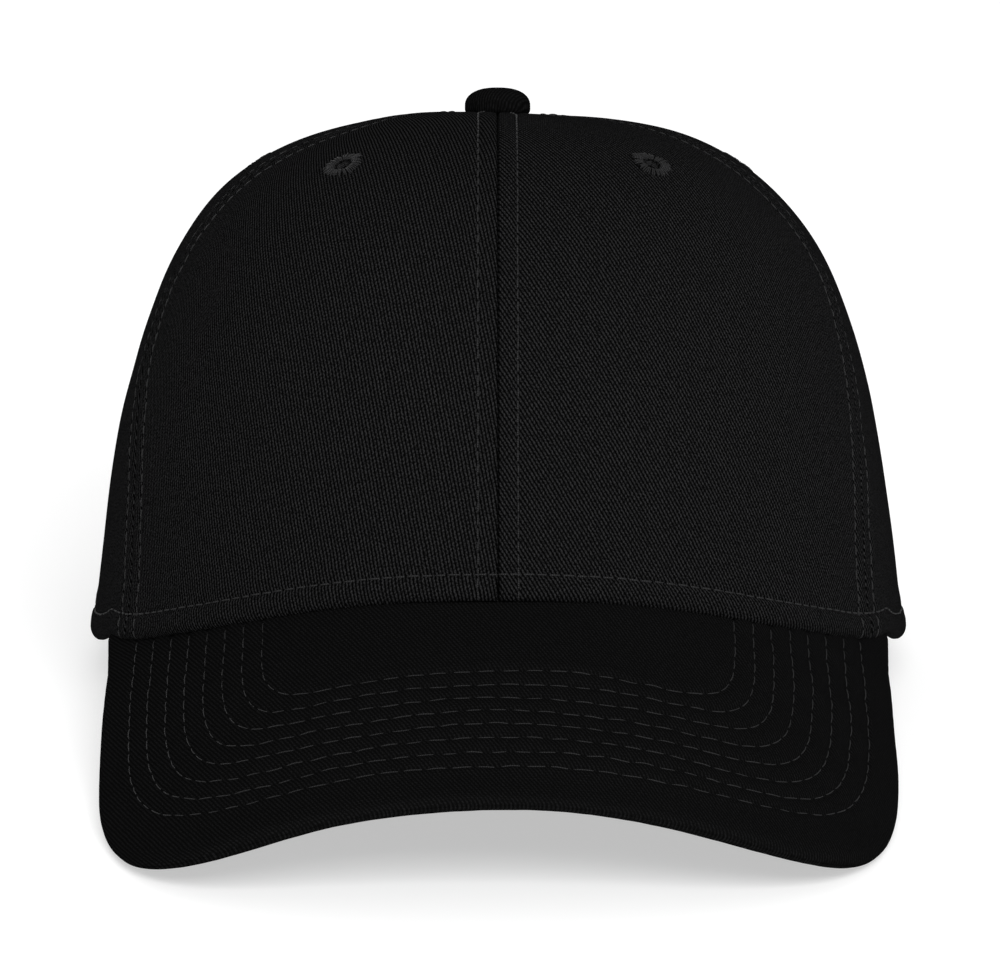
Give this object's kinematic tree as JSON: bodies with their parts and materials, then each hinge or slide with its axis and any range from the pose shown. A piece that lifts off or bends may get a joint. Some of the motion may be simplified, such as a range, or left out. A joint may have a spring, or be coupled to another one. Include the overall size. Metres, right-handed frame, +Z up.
{
  "type": "baseball cap",
  "caption": "Black six-panel structured baseball cap with a curved stitched visor, covered top button, embroidered eyelets and a back strap with a lever buckle",
  "frame": {"origin": "bottom centre of the bounding box, on the surface that the cap rests on, in millimetre-built metres", "axes": "+Z up, -Y the front of the cap (the visor), +X the wearer's left; the cap is symmetric about the plane x = 0 except for its strap and buckle"},
  "size_m": [0.181, 0.2668, 0.129],
  "materials": {
    "twill": "black cotton twill",
    "buckram": "stiff open weave",
    "seam_tape": "woven tape",
    "eyelet_thread": "embroidery thread",
    "sweatband_cloth": "plain weave",
    "binding": "folded twill",
    "strap_cloth": "folded twill",
    "visor_board": "matte",
    "button_metal": "satin",
    "buckle_metal": "brushed",
    "label_cloth": "satin weave, blank"
  },
  "bodies": {
    "cap": {"front_panel_left": "twill", "front_panel_right": "twill", "side_panel_left": "twill", "side_panel_right": "twill", "back_panel_left": "twill", "back_panel_right": "twill", "front_buckram_left": "buckram", "front_buckram_right": "buckram", "front_centre_tape": "seam_tape", "front_tape_left": "seam_tape", "front_tape_right": "seam_tape", "rear_tape_left": "seam_tape", "rear_tape_right": "seam_tape", "back_centre_tape": "seam_tape", "eyelets": "eyelet_thread", "top_button_cover": "twill", "top_button_shell": "button_metal", "top_button_prong": "button_metal", "visor_top_cover": "twill", "visor_board": "visor_board", "visor_under_cover": "twill", "sweatband": "sweatband_cloth", "sweatband_piping": "binding", "back_arch_binding": "binding", "back_strap": "strap_cloth", "strap_tab": "strap_cloth", "strap_keeper": "strap_cloth", "buckle_frame": "buckle_metal", "buckle_pin": "buckle_metal", "care_label": "label_cloth"},
    "lever": {"buckle_lever": "buckle_metal"}
  },
  "joints": [
    {"name": "buckle_lever_hinge", "type": "hinge", "parent": "cap", "child": "lever", "pos_m": [0.008, 0.12973, 0.0151], "axis": [0, -0.0831, -0.9965], "range_deg": [0, 110]}
  ]
}
